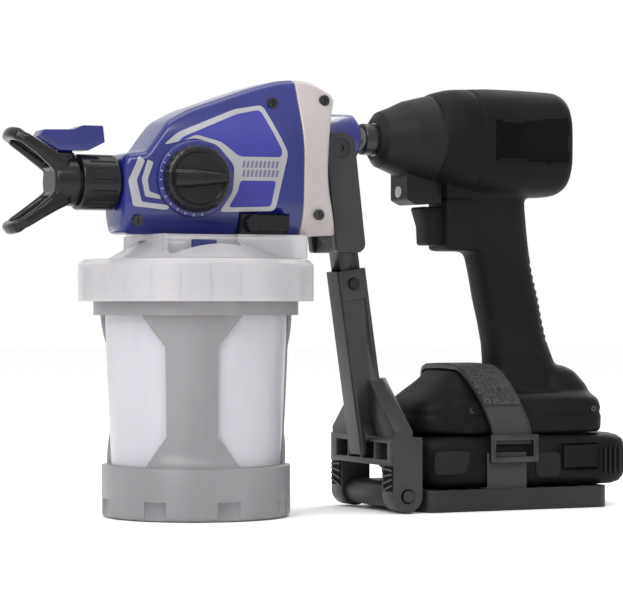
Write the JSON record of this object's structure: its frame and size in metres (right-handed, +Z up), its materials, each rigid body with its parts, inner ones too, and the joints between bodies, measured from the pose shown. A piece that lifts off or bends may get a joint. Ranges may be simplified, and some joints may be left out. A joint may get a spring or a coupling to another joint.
{
  "type": "airless paint sprayer",
  "caption": "Handheld airless paint sprayer on a cup, driven by an impact driver on a hinged telescopic arm.",
  "frame": {"origin": "centre of the paint cup's base, on the floor", "axes": "+Z up; +X from the cup towards the driver, so the spray leaves along -X; -Y is the side with the pressure knob"},
  "size_m": [0.3957, 0.139, 0.2575],
  "materials": {
    "cage_plastic": "fine texture",
    "liner_plastic": "frosted",
    "clear_plastic": "frosted",
    "gasket_rubber": "matte",
    "blue_plastic": "satin moulded",
    "white_plastic": "satin moulded",
    "black_plastic": "fine texture",
    "black_gloss": "gloss",
    "steel": "machined",
    "dark_steel": "blackened",
    "brass": "turned",
    "casing_black": "moulded",
    "grip_rubber": "ribbed",
    "nose_metal": "satin black",
    "lens": "clear",
    "webbing": "woven",
    "cell_wrap": "shrink sleeve",
    "board": "laminate",
    "copper": "wound"
  },
  "bodies": {
    "sprayer": {"cup_support": "cage_plastic", "cup_liner": "liner_plastic", "cup_gasket": "gasket_rubber", "cup_cover": "clear_plastic", "suction_tube": "clear_plastic", "inlet_strainer": "black_plastic", "casing_front_near": "blue_plastic", "casing_front_far": "blue_plastic", "casing_rear_near": "white_plastic", "casing_rear_far": "white_plastic", "casing_screws": "steel", "drive_cap": "blue_plastic", "pivot_screws": "dark_steel", "pump_block": "steel", "spray_barrel": "brass", "outlet_filter": "steel", "pistons": "steel", "piston_springs": "steel", "shaft_bearings": "steel", "gear_plate": "black_plastic", "purge_valve": "black_plastic"},
    "ring": {"lock_ring": "clear_plastic"},
    "latch": {"latch_button": "blue_plastic"},
    "input": {"input_shaft": "steel"},
    "gear": {"drive_gear": "steel"},
    "knob": {"pressure_knob": "black_plastic"},
    "lever": {"purge_lever": "black_gloss"},
    "seat": {"tip_seat": "steel"},
    "nut": {"retaining_nut": "black_gloss"},
    "guard": {"tip_guard": "black_plastic"},
    "tip": {"spray_tip": "blue_plastic"},
    "arm": {"yoke": "black_plastic"},
    "outer_leg": {"leg": "black_plastic"},
    "clamp_button": {"height_button": "black_gloss"},
    "driver": {"tray": "black_plastic", "axle": "dark_steel", "axle_sleeve": "black_gloss", "strap": "webbing", "strap_buckle": "dark_steel", "driver_casing_near": "casing_black", "driver_casing_far": "casing_black", "driver_screws": "dark_steel", "hammer_case": "nose_metal", "work_light": "lens", "gearbox": "dark_steel", "motor_stator": "copper", "end_bearing": "dark_steel", "switch_body": "black_plastic", "battery_case": "black_plastic", "battery_cells": "cell_wrap", "cell_holder": "black_plastic", "control_board": "board"},
    "spindle": {"anvil": "steel", "hammer": "steel"},
    "collar": {"chuck_collar": "dark_steel"},
    "rotor": {"motor_rotor": "steel"},
    "trigger": {"trigger": "black_plastic"},
    "selector": {"selector": "black_gloss"},
    "pack_latch_near": {"battery_latch_near": "black_gloss"},
    "pack_latch_far": {"battery_latch_far": "black_gloss"}
  },
  "joints": [
    {"name": "ring_turn", "type": "hinge", "parent": "sprayer", "child": "ring", "pos_m": [0, 0, 0.138], "axis": [0, 0, 1], "range_deg": [0, 45]},
    {"name": "latch_press", "type": "slide", "parent": "sprayer", "child": "latch", "axis": [0, 1, 0], "range_m": [0, 0.003], "stiffness_N_per_m": 400, "springref_m": -0.003},
    {"name": "nut_turn", "type": "hinge", "parent": "seat", "child": "nut", "pos_m": [-0.064, 0, 0.195], "axis": [-1, 0, 0], "range_deg": [0, 720]},
    {"name": "seat_slide", "type": "slide", "parent": "sprayer", "child": "seat", "axis": [-1, 0, 0], "range_m": [0, 0.0031]},
    {"name": "guard_turn", "type": "hinge", "parent": "seat", "child": "guard", "pos_m": [-0.085, 0, 0.195], "axis": [1, 0, 0], "range_deg": [-90, 90]},
    {"name": "tip_turn", "type": "hinge", "parent": "guard", "child": "tip", "pos_m": [-0.082, 0, 0.2], "axis": [0, 0, 1], "range_deg": [0, 90]},
    {"name": "pressure_turn", "type": "hinge", "parent": "sprayer", "child": "knob", "pos_m": [-0.0106, -0.02378, 0.197], "axis": [-0.1382, -0.9904, 0], "range_deg": [-120, 120]},
    {"name": "purge_swing", "type": "hinge", "parent": "sprayer", "child": "lever", "pos_m": [0.023, -0.03, 0.1715], "axis": [0, -1, 0], "range_deg": [0, 60]},
    {"name": "driver_slide", "type": "slide", "parent": "sprayer", "child": "driver", "axis": [1, 0, 0], "range_m": [0, 0.02]},
    {"name": "arm_swing", "type": "hinge", "parent": "sprayer", "child": "arm", "pos_m": [0.0855, 0, 0.2175], "axis": [0, -1, 0], "range_deg": [0, 6]},
    {"name": "leg_slide", "type": "slide", "parent": "arm", "child": "outer_leg", "axis": [0.1571, 0, -0.9876], "range_m": [0, 0.0045]},
    {"name": "clamp_press", "type": "slide", "parent": "outer_leg", "child": "clamp_button", "axis": [0, 1, 0], "range_m": [0, 0.0015], "stiffness_N_per_m": 400, "springref_m": -0.002},
    {"name": "spindle_spin", "type": "hinge", "parent": "driver", "child": "spindle", "pos_m": [0.14, 0, 0.2245], "axis": [1, 0, 0], "continuous": true},
    {"name": "rotor_spin", "type": "hinge", "parent": "driver", "child": "rotor", "pos_m": [0.2, 0, 0.2245], "axis": [1, 0, 0], "continuous": true},
    {"name": "input_spin", "type": "hinge", "parent": "sprayer", "child": "input", "pos_m": [0.08, 0, 0.2245], "axis": [1, 0, 0], "continuous": true},
    {"name": "gear_spin", "type": "hinge", "parent": "sprayer", "child": "gear", "pos_m": [0.045, 0, 0.195], "axis": [1, 0, 0], "continuous": true},
    {"name": "collar_pull", "type": "slide", "parent": "spindle", "child": "collar", "axis": [-1, 0, 0], "range_m": [0, 0.003], "stiffness_N_per_m": 600, "springref_m": -0.003},
    {"name": "trigger_pull", "type": "slide", "parent": "driver", "child": "trigger", "axis": [1, 0, 0], "range_m": [0, 0.006], "stiffness_N_per_m": 400, "springref_m": -0.004},
    {"name": "selector_push", "type": "slide", "parent": "driver", "child": "selector", "axis": [0, 1, 0], "range_m": [-0.003, 0.003]},
    {"name": "pack_latch_near_press", "type": "slide", "parent": "driver", "child": "pack_latch_near", "axis": [0, 1, 0], "range_m": [0, 0.0012], "stiffness_N_per_m": 500, "springref_m": -0.002},
    {"name": "pack_latch_far_press", "type": "slide", "parent": "driver", "child": "pack_latch_far", "axis": [0, -1, 0], "range_m": [0, 0.0012], "stiffness_N_per_m": 500, "springref_m": -0.002}
  ],
  "couplings": [
    {"joint": "seat_slide", "follows": "nut_turn", "m_per_rad": 0.0002387},
    {"joint": "arm_swing", "follows": "driver_slide", "rad_per_m": 4.62},
    {"joint": "leg_slide", "follows": "driver_slide", "ratio": 0.2025},
    {"joint": "input_spin", "follows": "spindle_spin", "ratio": 1},
    {"joint": "rotor_spin", "follows": "spindle_spin", "ratio": 5},
    {"joint": "gear_spin", "follows": "spindle_spin", "ratio": -0.34091}
  ]
}
